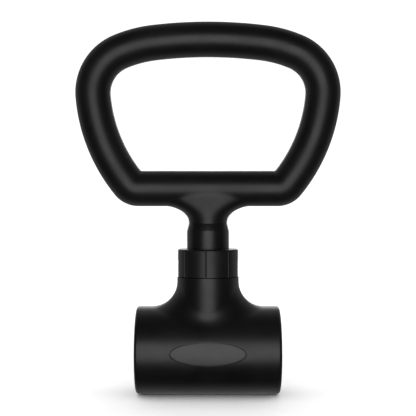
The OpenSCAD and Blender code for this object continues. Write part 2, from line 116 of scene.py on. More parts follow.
def lathe(name, profile, sides=160, axis="z", centre=(0, 0, 0)):
    """A closed ring or solid from a closed profile of (radius, height) turned round an axis."""
    verts, rings = [], []
    for r, h in profile:
        if r < TINY:
            rings.append([len(verts)] * sides)
            verts.append((0, 0, h))
        else:
            rings.append(range(len(verts), len(verts) + sides))
            verts += [(r * math.cos(t), r * math.sin(t), h)
                      for t in (2 * math.pi * i / sides for i in range(sides))]
    faces = []
    for k in range(len(rings)):
        low, high = rings[k], rings[(k + 1) % len(rings)]
        on_axis = profile[k][0] < TINY and profile[(k + 1) % len(rings)][0] < TINY
        if on_axis:
            continue
        for i in range(sides):
            m = (i + 1) % sides
            face = list(dict.fromkeys([low[i], low[m], high[m], high[i]]))
            if len(face) > 2:
                faces.append(face)
    verts = turned(verts, axis) + np.array(centre, float)
    return raw_object(name, *outward(verts, faces))


def cylinder(name, r, low, high, axis="x", centre=(0, 0, 0), sides=160):
    """A solid round bar, used as a cutter or a boss."""
    return lathe(name, [(0, low), (r, low), (r, high), (0, high)], sides, axis, centre)


def prism(name, outline, low, high, axis="x"):
    """A flat outline drawn across an axis and pulled along it."""
    n = len(outline)
    points = [(u, v, low) for u, v in outline] + [(u, v, high) for u, v in outline]
    faces = [list(range(n)), list(range(2 * n - 1, n - 1, -1))]
    faces += [[i, n + i, n + (i + 1) % n, (i + 1) % n] for i in range(n)]
    return raw_object(name, *outward(turned(points, axis), faces))


def block(name, low, high):
    (x0, y0, z0), (x1, y1, z1) = low, high
    return prism(name, [(x0, y0), (x1, y0), (x1, y1), (x0, y1)], z0, z1, "z")


def boolean(target, operation, *cutters):
    """Joins or cuts the target with the cutters and removes them."""
    for cutter in cutters:
        modifier = target.modifiers.new("cut", "BOOLEAN")
        modifier.operation = operation
        modifier.solver = "MANIFOLD"
        modifier.object = cutter
    graph = bpy.context.evaluated_depsgraph_get()
    mesh = bpy.data.meshes.new_from_object(target.evaluated_get(graph))
    old = target.data
    target.modifiers.clear()
    target.data = mesh
    bpy.data.meshes.remove(old)
    for cutter in cutters:
        bpy.data.meshes.remove(cutter.data)


def copy_of(obj, name):
    twin = bpy.data.objects.new(name, obj.data.copy())
    scene.collection.objects.link(twin)
    return twin


# ---------------------------------------------------------------- smooth surfaces from distance functions

# Size of a skin's quads, room left round it, and how it is evened out
SKIN_STEP = 1.15
SKIN_ROOM = 3.0
RELAX = 0.6
RELAX_ROUNDS = 3


def slope(f, p, h=0.01):
    """The gradient of f at each point, by central differences."""
    out = np.empty_like(p)
    for k in range(3):
        step = np.zeros(3)
        step[k] = h
        out[:, k] = (f(p + step) - f(p - step)) / (2 * h)
    return out


def settle(f, p, rounds=4, reach=0.8):
    """Moves points onto the surface where f is zero."""
    for _ in range(rounds):
        g = slope(f, p)
        move = -f(p)[:, None] * g / np.maximum((g * g).sum(1), 1e-4)[:, None]
        size = np.linalg.norm(move, axis=1)[:, None]
        p = p + move * np.minimum(1, reach / np.maximum(size, 1e-12))
    return p


def skin_of(name, f, low, high, step):
    """The surface where f is zero, as an even net of quads on a grid, settled onto f."""
    axes = [np.arange(low[k], high[k] + step, step) for k in range(3)]
    shape = tuple(len(a) for a in axes)
    value = np.empty(shape)
    plane = np.stack(np.meshgrid(axes[1], axes[2], indexing="ij"), -1).reshape(-1, 2)
    for i, x in enumerate(axes[0]):
        value[i] = f(np.column_stack([np.full(len(plane), x), plane])).reshape(shape[1:])
    inside = value < 0
    corners = [np.array((i, j, k)) for i in (0, 1) for j in (0, 1) for k in (0, 1)]
    cut = [slice(0, -1), slice(1, None)]
    count = sum(inside[cut[c[0]], cut[c[1]], cut[c[2]]].astype(np.int8) for c in corners)
    active = (count > 0) & (count < 8)
    index = np.full(active.shape, -1)
    index[active] = np.arange(active.sum())
    cells = np.argwhere(active)
    total, hits = np.zeros((len(cells), 3)), np.zeros(len(cells))
    for a in corners:
        for axis in range(3):
            if a[axis]:
                continue
            b = a.copy()
            b[axis] = 1
            va, vb = value[tuple((cells + a).T)], value[tuple((cells + b).T)]
            crossing = (va < 0) != (vb < 0)
            t = va[crossing] / (va[crossing] - vb[crossing])
            total[crossing] += cells[crossing] + a + t[:, None] * (b - a)
            hits += crossing
    points = np.array(low) + step * total / hits[:, None]
    quads = []
    for axis in range(3):
        u, v = (axis + 1) % 3, (axis + 2) % 3
        near = np.moveaxis(inside, (axis, u, v), (0, 1, 2))
        ids = np.moveaxis(index, (axis, u, v), (0, 1, 2))
        change = near[:-1, 1:-1, 1:-1] != near[1:, 1:-1, 1:-1]
        at = np.argwhere(change)
        i, j, k = at[:, 0], at[:, 1] + 1, at[:, 2] + 1
        quad = np.stack([ids[i, j - 1, k - 1], ids[i, j, k - 1], ids[i, j, k], ids[i, j - 1, k]], 1)
        flip = ~near[i, j, k]
        quad[flip] = quad[flip][:, ::-1]
        quads.append(quad)
    quads = np.concatenate(quads)
    edges = np.concatenate([quads[:, [0, 1]], quads[:, [1, 2]], quads[:, [2, 3]], quads[:, [3, 0]]])
    points = settle(f, points)
    for _ in range(RELAX_ROUNDS):
        around, ways = np.zeros_like(points), np.zeros(len(points))
        for a, b in ((0, 1), (1, 0)):
            np.add.at(around, edges[:, a], points[edges[:, b]])
            np.add.at(ways, edges[:, a], 1)
        points = settle(f, (1 - RELAX) * points + RELAX * around / ways[:, None], 2)
    points = settle(f, points, 3)
    return raw_object(name, points, quads)


def even_shading(obj, f, sharp_deg=30, near=0.02, lean=0.85):
    """Smooth shading, with exact normals where a corner lies on the surface where f is zero."""
    mesh = obj.data
    mesh.shade_smooth()
    mesh.set_sharp_from_angle(angle=math.radians(sharp_deg))
    if f is None:
        return
    points = np.empty(len(mesh.vertices) * 3)
    mesh.vertices.foreach_get("co", points)
    points = points.reshape(-1, 3)
    normals = slope(f, points)
    normals /= np.maximum(np.linalg.norm(normals, axis=1), 1e-9)[:, None]
    on = np.abs(f(points)) < near
    loop_vertex = np.empty(len(mesh.loops), int)
    mesh.loops.foreach_get("vertex_index", loop_vertex)
    face_normal = np.empty(len(mesh.polygons) * 3)
    mesh.polygons.foreach_get("normal", face_normal)
    sizes = np.empty(len(mesh.polygons), int)
    mesh.polygons.foreach_get("loop_total", sizes)
    loop_face = np.repeat(face_normal.reshape(-1, 3), sizes, axis=0)
    corner = normals[loop_vertex]
    fits = on[loop_vertex] & ((corner * loop_face).sum(1) > lean)
    custom = np.empty(len(mesh.loops) * 3)
    mesh.corner_normals.foreach_get("vector", custom)
    custom = custom.reshape(-1, 3)
    custom[fits] = corner[fits]
    mesh.normals_split_custom_set(custom.tolist())


def finish_piece(obj, name, body, node, slot, f=None, sharp_deg=30):
    """Shades a piece, scales it to metres and puts it on its body in place of a CAD node."""
    obj.name = name
    even_shading(obj, f, sharp_deg)
    obj.data.transform(((MM, 0, 0, 0), (0, MM, 0, 0), (0, 0, MM, 0), (0, 0, 0, 1)))
    obj.data.materials.clear()
    obj.data.materials.append(by_slot[slot])
    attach(obj, body)
    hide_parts(node)


# ---------------------------------------------------------------- materials

def ramp(nodes, links, source, low, high, low_at=0.35, high_at=0.65):
    """Maps a noise value to a number between low and high."""
    node = nodes.new("ShaderNodeMapRange")
    node.inputs["From Min"].default_value = low_at
    node.inputs["From Max"].default_value = high_at
    node.inputs["To Min"].default_value = low
    node.inputs["To Max"].default_value = high
    links.new(source, node.inputs["Value"])
    return node.outputs["Result"]


def noise(nodes, links, coordinates, size_mm, detail=2.0, roughness=0.5, stretch=None):
    """Noise with features about size_mm across, in the object's own coordinates."""
    source = coordinates
    if stretch is not None:
        mapping = nodes.new("ShaderNodeMapping")
        mapping.inputs["Scale"].default_value = stretch
        links.new(coordinates, mapping.inputs["Vector"])
        source = mapping.outputs["Vector"]
    node = nodes.new("ShaderNodeTexNoise")
    node.inputs["Scale"].default_value = 1 / (size_mm * MM)
    node.inputs["Detail"].default_value = detail
    node.inputs["Roughness"].default_value = roughness
    links.new(source, node.inputs["Vector"])
    return node.outputs["Fac"]


def bump(nodes, links, height, distance_mm, strength, under=None):
    """Relief from a height value, on top of the relief under it."""
    node = nodes.new("ShaderNodeBump")
    node.inputs["Strength"].default_value = strength
    node.inputs["Distance"].default_value = distance_mm * MM
    links.new(height, node.inputs["Height"])
    if under is not None:
        links.new(under, node.inputs["Normal"])
    return node.outputs["Normal"]


def new_material(name):
    """A material with one shader, and the object's own coordinates."""
    material = bpy.data.materials.new(name)
    material.use_nodes = True
    nodes, links = material.node_tree.nodes, material.node_tree.links
    nodes.clear()
    out = nodes.new("ShaderNodeOutputMaterial")
    shader = nodes.new("ShaderNodeBsdfPrincipled")
    links.new(shader.outputs["BSDF"], out.inputs["Surface"])
    coordinates = nodes.new("ShaderNodeTexCoord").outputs["Object"]
    return material, nodes, links, shader, coordinates


def mixed(nodes, links, fac, a, b):
    """A colour between a and b."""
    node = nodes.new("ShaderNodeMix")
    node.data_type = "RGBA"
    links.new(fac, node.inputs["Factor"])
    node.inputs["A"].default_value = (*a, 1)
    node.inputs["B"].default_value = (*b, 1)
    return node.outputs["Result"]


def moulded_plastic(name, dark, light, rough, grain_mm=0.45, grain=0.10):
    """Black moulded plastic: spark-eroded grain, slow swings of gloss, faint handling marks."""
    material, nodes, links, shader, at = new_material(name)
    cloud = noise(nodes, links, at, size_mm=34, detail=3)
    links.new(mixed(nodes, links, ramp(nodes, links, cloud, 0, 1), dark, light),
              shader.inputs["Base Color"])
    fine = noise(nodes, links, at, size_mm=grain_mm, detail=3, roughness=0.6)
    slow = noise(nodes, links, at, size_mm=22, detail=4, roughness=0.6)
    scuffs = noise(nodes, links, at, size_mm=5, detail=6, roughness=0.7, stretch=(1.0, 1.0, 0.22))
    gloss = ramp(nodes, links, slow, low=rough - 0.035, high=rough + 0.035)
    polished = ramp(nodes, links, scuffs, low=0, high=-0.05, low_at=0.6, high_at=0.75)
    for change in (polished, ramp(nodes, links, fine, low=-0.02, high=0.02)):
        total = nodes.new("ShaderNodeMath")
        total.operation = "ADD"
        links.new(gloss, total.inputs[0])
        links.new(change, total.inputs[1])
        gloss = total.outputs[0]
    links.new(gloss, shader.inputs["Roughness"])
    wave = bump(nodes, links, slow, distance_mm=0.25, strength=0.12)
    relief = bump(nodes, links, fine, distance_mm=0.02, strength=grain, under=wave)
    links.new(relief, shader.inputs["Normal"])
    shader.inputs["Specular IOR Level"].default_value = 0.5
    shader.inputs["IOR"].default_value = 1.5
    return material


def rubber(name, dark, light):
    """Matt rubber with talc in its pores."""
    material, nodes, links, shader, at = new_material(name)
    cloud = noise(nodes, links, at, size_mm=6, detail=5, roughness=0.65)
    links.new(mixed(nodes, links, ramp(nodes, links, cloud, 0, 1), dark, light),
              shader.inputs["Base Color"])
    fine = noise(nodes, links, at, size_mm=0.5, detail=3, roughness=0.6)
    links.new(ramp(nodes, links, cloud, low=0.68, high=0.82), shader.inputs["Roughness"])
    links.new(bump(nodes, links, fine, distance_mm=0.06, strength=0.35), shader.inputs["Normal"])
    shader.inputs["Specular IOR Level"].default_value = 0.35
    return material


def metal(name, dark, light, rough, stretch=(1, 1, 12)):
    """Steel with the marks of its turning or drawing, and a little tarnish."""
    material, nodes, links, shader, at = new_material(name)
    cloud = noise(nodes, links, at, size_mm=9, detail=4, roughness=0.6)
    lines = noise(nodes, links, at, size_mm=3.0, detail=4, roughness=0.7, stretch=stretch)
    links.new(mixed(nodes, links, ramp(nodes, links, cloud, 0, 1), dark, light),
              shader.inputs["Base Color"])
    links.new(ramp(nodes, links, lines, low=rough - 0.07, high=rough + 0.1), shader.inputs["Roughness"])
    links.new(bump(nodes, links, lines, distance_mm=0.02, strength=0.25), shader.inputs["Normal"])
    shader.inputs["Metallic"].default_value = 1.0
    return material


BLACK_DARK = (0.0026, 0.0026, 0.0027)
BLACK_LIGHT = (0.0042, 0.0042, 0.0044)
by_slot = {
    "grip_plastic": moulded_plastic("grip plastic", BLACK_DARK, BLACK_LIGHT, rough=0.40),
    "shell_plastic": moulded_plastic("shell plastic", BLACK_DARK, BLACK_LIGHT, rough=0.38),
    "sleeve_plastic": moulded_plastic("sleeve plastic", BLACK_DARK, (0.0038, 0.0038, 0.004),
                                      rough=0.38, grain_mm=0.6, grain=0.05),
    "collar_plastic": moulded_plastic("collar plastic", (0.003, 0.003, 0.0031),
                                      (0.0044, 0.0044, 0.0046), rough=0.42),
    "badge_plastic": moulded_plastic("badge plastic", (0.022, 0.022, 0.0225),
                                     (0.027, 0.027, 0.0277), rough=0.45, grain_mm=0.35, grain=0.16),
    "liner_rubber": rubber("liner rubber", (0.012, 0.012, 0.012), (0.020, 0.0195, 0.019)),
    "core_steel": metal("core steel", (0.50, 0.50, 0.51), (0.62, 0.62, 0.63), rough=0.30),
    "spigot_steel": metal("spigot steel", (0.24, 0.24, 0.25), (0.34, 0.34, 0.35), rough=0.36),
    "zinc_steel": metal("zinc steel", (0.62, 0.62, 0.60), (0.74, 0.74, 0.71),
                        rough=0.28, stretch=(12, 1, 1)),
}
for row in frame["record"]["subparts"]:
    held = frame["nodes"][row["node"]]
    held.data.materials.clear()
    held.data.materials.append(by_slot[row["material_slot"]])


# ---------------------------------------------------------------- grip

GRIP_R = 14.15
NECK_R = 15.2
grip_low, grip_high = node_box("grip_skin")
skin_bottom = grip_low[2]
loop_top = grip_high[2] - GRIP_R
# Centre line of the loop in the XZ plane: arcs (bend radius, from angle, to angle), mirrored in X
bends = [(359.9, 83.0, 90.0), (99.0, 67.0, 83.0), (35.5, -5.0, 67.0), (128.5, -39.24, -5.0),
         (10.0, -90.0, -39.24)]


def direction(angle):
    """The unit vector at an angle in degrees."""
    return np.array((math.cos(math.radians(angle)), math.sin(math.radians(angle))))


centres = [np.array((0.0, loop_top - bends[0][0]))]
for (r_before, low_a, _), (r_next, _, _) in zip(bends, bends[1:]):
    centres.append(centres[-1] + (r_before - r_next) * direction(low_a))
elbow_x = centres[-1][0]
rail_z = centres[-1][1] - bends[-1][0]
# The neck's flare: where it starts, its most width, and how fast it opens
FLARE_Z = 101.6
FLARE_W = 40.0
FLARE_RATE = 0.0336
FLARE_POWER = 2.32
# Where the neck starts to get flatter, and by how much at the rail
FLATTER_Z = 107.0
FLATTER_BY = 1.8
# Width over which neck and loop melt together, and the share of it that is left at the front
MELT = 5.0
FRONT_SHARE = 0.2
FRONT_Y = 13.0
# How far the neck runs past its lower end before it is cut off
NECK_PAST = 1.7


def loop_distance(p):
    """Distance from the tube bent along the loop's centre line."""
    flat = np.column_stack([np.abs(p[:, 0]), p[:, 2]])
    past_x = np.maximum(flat[:, 0] - elbow_x, 0)
    best = past_x ** 2 + (flat[:, 1] - rail_z) ** 2
    for centre, (r, low_a, high_a) in zip(centres, bends):
        v = flat - centre
        size = np.hypot(v[:, 0], v[:, 1])
        angle = np.degrees(np.arctan2(v[:, 1], v[:, 0]))
        angle = np.where(angle > 180 + low_a, angle - 360, angle)
        t = np.radians(np.clip(angle, low_a, high_a))
        on = centre + r * np.column_stack([np.cos(t), np.sin(t)])
        within = (angle >= low_a) & (angle <= high_a)
        gap = np.where(within, (size - r) ** 2, ((flat - on) ** 2).sum(1))
        best = np.minimum(best, gap)
    return np.sqrt(best + p[:, 1] ** 2) - GRIP_R


def smooth(t):
    """A soft step from 0 to 1."""
    t = np.clip(t, 0, 1)
    return t * t * (3 - 2 * t)


def neck_distance(p):
    """The neck: an oval section that flares sideways into the lower rail."""
    rise = np.clip(p[:, 2] - FLARE_Z, 0, rail_z - FLARE_Z)
    w = NECK_R + FLARE_W * np.tanh(FLARE_RATE * rise ** FLARE_POWER / FLARE_W)
    d = NECK_R - FLATTER_BY * smooth((p[:, 2] - FLATTER_Z) / (rail_z - FLATTER_Z))
    q = np.hypot(p[:, 0] / w, p[:, 1] / d)
    lean = np.hypot(p[:, 0] / w ** 2, p[:, 1] / d ** 2)
    wall = (q - 1) * q / np.maximum(lean, 1e-3)
    return np.maximum.reduce([wall, p[:, 2] - rail_z, skin_bottom - NECK_PAST - p[:, 2]])


def grip_distance(p):
    """Loop and neck melted together, softly at the sides and tightly at the front."""
    melt = MELT * (1 - (1 - FRONT_SHARE) * smooth(np.abs(p[:, 1]) / FRONT_Y))
    a, b = neck_distance(p), loop_distance(p)
    share = np.clip(0.5 + 0.5 * (b - a) / melt, 0, 1)
    return b + (a - b) * share - melt * share * (1 - share)


# ---------------------------------------------------------------- outside of the jaws

HALF_L = node_box("rear_shell")[1][0]
BARREL_R = 34.8
EDGE_R = 2.4
JAW_NECK_R = 24.6
BLEND_R = 20.0
NECK_TOP = 58.5
# The blend is looked for only above this height
BLEND_LOW_Z = 10.0
arc = np.radians(np.linspace(0, 90, 181))
ball_r = JAW_NECK_R + BLEND_R
ball_line = np.column_stack([ball_r * np.cos(arc), ball_r * np.sin(arc),
                             np.sqrt((BARREL_R + BLEND_R) ** 2 - (ball_r * np.sin(arc)) ** 2)])


def barrel_distance(p):
    """Distance from the barrel, a solid bar with rounded end edges."""
    along = np.abs(p[:, 0]) - (HALF_L - EDGE_R)
    across = np.hypot(p[:, 1], p[:, 2]) - (BARREL_R - EDGE_R)
    return (np.hypot(np.maximum(along, 0), np.maximum(across, 0))
            + np.minimum(np.maximum(along, across), 0) - EDGE_R)


def jaws_distance(p):
    """Barrel and neck with a ball of BLEND_R rolled round the corner between them."""
    barrel = barrel_distance(p)
    neck_half = NECK_TOP / 2 + 1
    neck = np.maximum(np.hypot(p[:, 0], p[:, 1]) - JAW_NECK_R, np.abs(p[:, 2] - neck_half) - neck_half)
    out = np.minimum(barrel, neck)
    near = np.flatnonzero((neck > -1) & (neck < BLEND_R) & (barrel > -1) & (barrel < BLEND_R)
                          & (p[:, 2] > BLEND_LOW_Z))
    if len(near) == 0:
        return out
    q = np.abs(p[near])
    q[:, 2] = p[near, 2]
    gap = ((q[:, None, :] - ball_line[None]) ** 2).sum(2)
    k = np.clip(gap.argmin(1), 1, len(arc) - 2)
    rows = np.arange(len(q))
    g0, g1, g2 = gap[rows, k - 1], gap[rows, k], gap[rows, k + 1]
    shift = np.clip(0.5 * (g0 - g2) / np.maximum(g0 - 2 * g1 + g2, 1e-12), -1.5, 1.5)
    t = np.clip(arc[k] + shift * (arc[1] - arc[0]), 0, math.pi / 2)
    c = np.column_stack([ball_r * np.cos(t), ball_r * np.sin(t),
                         np.sqrt((BARREL_R + BLEND_R) ** 2 - (ball_r * np.sin(t)) ** 2)])
    v = q - c
    to_neck = np.column_stack([-np.cos(t), -np.sin(t), np.zeros(len(t))])
    to_barrel = -np.column_stack([np.zeros(len(t)), c[:, 1], c[:, 2]]) / (BARREL_R + BLEND_R)
    both = (to_neck * to_barrel).sum(1)
    v_n, v_b = (v * to_neck).sum(1), (v * to_barrel).sum(1)
    fan = (v_n - both * v_b > 0) & (v_b - both * v_n > 0)
    filled = BLEND_R - np.linalg.norm(v, axis=1)
    out[near] = np.where(fan, np.minimum(out[near], filled), out[near])
    return out


# ---------------------------------------------------------------- pieces of the grip

grip = skin_of("grip", grip_distance, grip_low - SKIN_ROOM, grip_high + SKIN_ROOM, SKIN_STEP)
boolean(grip, "DIFFERENCE", block("below", (-40, -40, skin_bottom - 20), (40, 40, skin_bottom)))
finish_piece(grip, "grip", "base", "grip_skin", "grip_plastic", grip_distance)


# ---------------------------------------------------------------- jaws

# Half the gap between the jaws' faces
PARTING = 0.1
# Seat of the liner, the tube round it, and the hollow's outer wall
SEAT_R = 22.0
TUBE_R = 25.0
HOLLOW_R = 31.8
RIBS = (-36.0, -18.0, 18.0, 36.0)
RIB_HALF = 1.0
END_WALL = 3.5
HINGE_Z = -30.0
HINGE = (0, 0, HINGE_Z)
KNUCKLES = 12
KNUCKLE_R = 4.6
SPAN = 2 * HALF_L / KNUCKLES
# Gap between two knuckles
GAP = 0.3
# How far the room for a knuckle runs into its neighbours'
OVERLAP = 0.001
# Rounding of a knuckle's ends, larger on the two at the barrel's ends
KNUCKLE_EDGE = 0.5
OUTER_EDGE = 2.2
# Room round a knuckle in the other jaw
KNUCKLE_PLAY = 0.4
# Half width of the solid strip along the hinge, and the angle of the relief on either side of it
HINGE_HALF_Y = 9.0
RELIEF_A = math.radians(37)
PIN_HOLE_R = 2.05
SINK_R = 3.1
SINK_DEEP = 1.6
# Bore of the neck, and the slope of its lip
NECK_BORE_R = 19.3
LIP_OUTER_R = 22.8
LIP_RISE = 0.938
# Hollow beside the neck: outline of one side in (side, height), and half its depth
POCKET = [(-1, 24), (29.5, 24), (29.5, 33), (25.5, 38), (21, 43), (-1, 43)]
POCKET_HALF_Y = 8.0
# Screw bosses and the front of the screws' ears
EAR_X = 23.8
EAR_Z = 33.8
EAR_FRONT_Y = -5.2
EAR_BACK_Y = -2.7
SCREW_BOSS_R = 4.6
SCREW_R = 2.05
SCREW_TIP_Y = -10.7
# Dowels: boss and holes
DOWEL_X = 45.0
DOWEL_Z = (TUBE_R + HOLLOW_R) / 2
DOWEL_BOSS_R = 3.9
DOWEL_BOSS_L = 12.0
DOWEL_TIGHT = (2.05, -10, 1)
DOWEL_LOOSE = (2.5, -1, 4.5)
badge_low, badge_high = node_box("badge")
BADGE_FLOOR_Y = badge_high[1]
BADGE_PLAY = 0.4
badge_a = (badge_high[0] - badge_low[0]) / 2
badge_b = (badge_high[2] - badge_low[2]) / 2
badge_z = (badge_high[2] + badge_low[2]) / 2


def oval(a, b, z, n=120):
    """An oval outline in (height, side)."""
    turns = [2 * math.pi * i / n for i in range(n)]
    return [(z + b * math.sin(t), a * math.cos(t)) for t in turns]


SIDE = 38.0
jaws = skin_of("jaws", jaws_distance, (-HALF_L - SKIN_ROOM, -SIDE, -SIDE),
               (HALF_L + SKIN_ROOM, SIDE, NECK_TOP + 4), SKIN_STEP)
boolean(jaws, "DIFFERENCE", lathe("lip", [
    (0, NECK_TOP + 1), (NECK_BORE_R, NECK_TOP + LIP_RISE), (LIP_OUTER_R, NECK_TOP), (45, NECK_TOP),
    (45, 80), (0, 80)]))


def hollow_of(side):
    """Hollows between the ribs, with the liner's tube and the bosses left standing."""
    edges = [-HALF_L + END_WALL - RIB_HALF, *RIBS, HALF_L - END_WALL + RIB_HALF]
    bays = [cylinder(f"bay{i}", HOLLOW_R, a + RIB_HALF, b - RIB_HALF)
            for i, (a, b) in enumerate(zip(edges, edges[1:]))]
    hollow = bays[0]
    boolean(hollow, "UNION", *bays[1:])
    boolean(hollow, "DIFFERENCE", block("hinge block", (-HALF_L - 1, -HINGE_HALF_Y, -BARREL_R),
                                        (HALF_L + 1, HINGE_HALF_Y, 0)))
    for sign in (-1, 1):
        outline = [(z, sign * x) for x, z in POCKET]
        boolean(hollow, "UNION", prism("pocket", outline, -POCKET_HALF_Y, POCKET_HALF_Y, "y"))
    boolean(hollow, "UNION", cylinder("neck bore", NECK_BORE_R, 0, NECK_TOP + 3, "z"))
    boolean(hollow, "DIFFERENCE", cylinder("tube", TUBE_R, -HALF_L - PAST, HALF_L + PAST))
    for x in (-DOWEL_X, DOWEL_X):
        low, high = sorted((0, side * DOWEL_BOSS_L))
        boss = cylinder("boss", DOWEL_BOSS_R, low, high, "y", (x, 0, DOWEL_Z), 48)
        boolean(hollow, "DIFFERENCE", boss)
    if side < 0:
        for x in (-EAR_X, EAR_X):
            boss = cylinder("boss", SCREW_BOSS_R, -BARREL_R, EAR_FRONT_Y - 0.1, "y", (x, 0, EAR_Z), 48)
            boolean(hollow, "DIFFERENCE", boss)
    return hollow


def knuckle(i, x):
    """A knuckle of the hinge, its outer end rounded to follow the barrel's edge."""
    half_l = SPAN / 2 - GAP / 2
    low_edge = OUTER_EDGE if i == 0 else KNUCKLE_EDGE
    high_edge = OUTER_EDGE if i == KNUCKLES - 1 else KNUCKLE_EDGE
    ring = [(0, x - half_l), (KNUCKLE_R - low_edge, x - half_l), (KNUCKLE_R, x - half_l + low_edge),
            (KNUCKLE_R, x + half_l - high_edge), (KNUCKLE_R - high_edge, x + half_l), (0, x + half_l)]
    return lathe("knuckle", ring, 72, "x", HINGE)


def jaw(side):
    """One jaw: its half of the outside, hollowed, with its own knuckles."""
    body = copy_of(jaws, "jaw")
    low_y, high_y = (PARTING, 60) if side > 0 else (-60, -PARTING)
    boolean(body, "INTERSECT", block("half", (-80, low_y, -60), (80, high_y, 90)))
    boolean(body, "DIFFERENCE", hollow_of(side))
    boolean(body, "DIFFERENCE", cylinder("seat", SEAT_R, -HALF_L - PAST, HALF_L + PAST, sides=200))
    reach = BARREL_R * math.tan(RELIEF_A)
    wedge = [(0, HINGE_Z), (-reach, HINGE_Z - BARREL_R), (reach, HINGE_Z - BARREL_R)]
    boolean(body, "DIFFERENCE", prism("relief", wedge, -HALF_L - 1, HALF_L + 1))
    own, other = (0, 1) if side > 0 else (1, 0)
    reach = SPAN / 2 + OVERLAP
    for i in range(other, KNUCKLES, 2):
        x = -HALF_L + (i + 0.5) * SPAN
        boolean(body, "DIFFERENCE",
                cylinder("gap", KNUCKLE_R + KNUCKLE_PLAY, x - reach, x + reach, "x", HINGE, 72))
    for i in range(own, KNUCKLES, 2):
        boolean(body, "UNION", knuckle(i, -HALF_L + (i + 0.5) * SPAN))
    boolean(body, "DIFFERENCE",
            cylinder("pin hole", PIN_HOLE_R, -HALF_L - PAST, HALF_L + PAST, "x", HINGE, 48))
    for sign in (-1, 1):
        low, high = sorted((sign * (HALF_L - SINK_DEEP), sign * (HALF_L + PAST)))
        boolean(body, "DIFFERENCE", cylinder("sink", SINK_R, low, high, "x", HINGE, 64))
    for x in (-DOWEL_X, DOWEL_X):
        r, low, high = DOWEL_LOOSE if side > 0 else DOWEL_TIGHT
        boolean(body, "DIFFERENCE", cylinder("dowel hole", r, low, high, "y", (x, 0, DOWEL_Z), 48))
    return body


front = jaw(-1)
for x in (-EAR_X, EAR_X):
    hole = cylinder("screw hole", SCREW_R, SCREW_TIP_Y, EAR_BACK_Y, "y", (x, 0, EAR_Z), 48)
    boolean(front, "DIFFERENCE", hole)
recess = oval(badge_a + BADGE_PLAY, badge_b + BADGE_PLAY, badge_z)
boolean(front, "DIFFERENCE", prism("recess", recess, -60, BADGE_FLOOR_Y, "y"))
finish_piece(front, "front_jaw_shell", "base", "front_shell", "shell_plastic", jaws_distance)
finish_piece(jaw(1), "rear_jaw_shell", "rear_jaw", "rear_shell", "shell_plastic", jaws_distance)
bpy.data.meshes.remove(jaws.data)


# ---------------------------------------------------------------- badge

def badge_piece():
    """Oval badge with a crowned face and a rounded rim, following the barrel's curve."""
    n = 160
    face_r, rim = 40.0, 0.55
    rows = [(share * (badge_a - rim), share * (badge_b - rim), 0.0)
            for share in (0.25, 0.5, 0.7, 0.84, 0.93)]
    for t in np.radians(np.linspace(0, 90, 7)):
        rows.append((badge_a - rim + rim * math.sin(t), badge_b - rim + rim * math.sin(t),
                     rim * (1 - math.cos(t))))
    turns = [2 * math.pi * i / n for i in range(n)]
    verts = []
    for a, b, drop in rows:
        for t in turns:
            x, z = a * math.cos(t), badge_z + b * math.sin(t)
            y = badge_low[1] + face_r - math.sqrt(face_r ** 2 - z ** 2) + drop
            verts.append((x, min(y, BADGE_FLOOR_Y - 0.01), z))
    verts += [(badge_a * math.cos(t), BADGE_FLOOR_Y, badge_z + badge_b * math.sin(t)) for t in turns]
    faces = [[k * n + i, k * n + (i + 1) % n, (k + 1) * n + (i + 1) % n, (k + 1) * n + i]
             for k in range(len(rows)) for i in range(n)]
    faces.append(list(range(n))[::-1])
    faces.append([len(rows) * n + i for i in range(n)])
    return raw_object("badge", *outward(verts, faces))


finish_piece(badge_piece(), "badge_plate", "base", "badge", "badge_plastic", sharp_deg=40)


# ---------------------------------------------------------------- liners

def liner_piece(side):
    """Half tube of rubber with shallow ribs along its bore and chamfered ends."""
    n = 180
    outer, inner = 21.95, 18.0
    chamfer = 0.5
    rib_deep, rib_count = 0.35, 36
    half = HALF_L - 0.4
    t = np.radians(np.linspace(0.28, 179.72, n + 1))
    ribs = rib_deep * smooth((np.cos(t * rib_count) + 0.2) / 0.6)
    outline = [(outer * math.cos(a), outer * math.sin(a)) for a in t]
    bore = [((inner + d) * math.cos(a), (inner + d) * math.sin(a)) for a, d in zip(t, ribs)]
    ring = outline + bore[::-1]
    shrunk = []
    for u, v in ring:
        r = math.hypot(u, v)
        q = (r + (chamfer if r < (outer + inner) / 2 else -chamfer)) / r
        shrunk.append((u * q, v * q))
    m = len(ring)
    verts = []
    for x, shape in ((-half, shrunk), (-half + chamfer, ring), (half - chamfer, ring), (half, shrunk)):
        verts += [(x, side * v, u) for u, v in shape]
    faces = [[k * m + i, k * m + (i + 1) % m, (k + 1) * m + (i + 1) % m, (k + 1) * m + i]
             for k in range(3) for i in range(m)]
    for k, flip in ((0, 1), (3, -1)):
        for i in range(n):
            faces.append([k * m + i, k * m + i + 1, k * m + m - 2 - i, k * m + m - 1 - i][::flip])
    return raw_object("liner", *outward(verts, faces))


finish_piece(liner_piece(-1), "front_lining", "base", "front_liner", "liner_rubber", sharp_deg=40)
finish_piece(liner_piece(1), "rear_lining", "rear_jaw", "rear_liner", "liner_rubber", sharp_deg=40)


# ---------------------------------------------------------------- neck sleeve, collar and spigot

def round_distance(r):
    """Distance from an upright round wall."""
    return lambda p: np.hypot(p[:, 0], p[:, 1]) - r


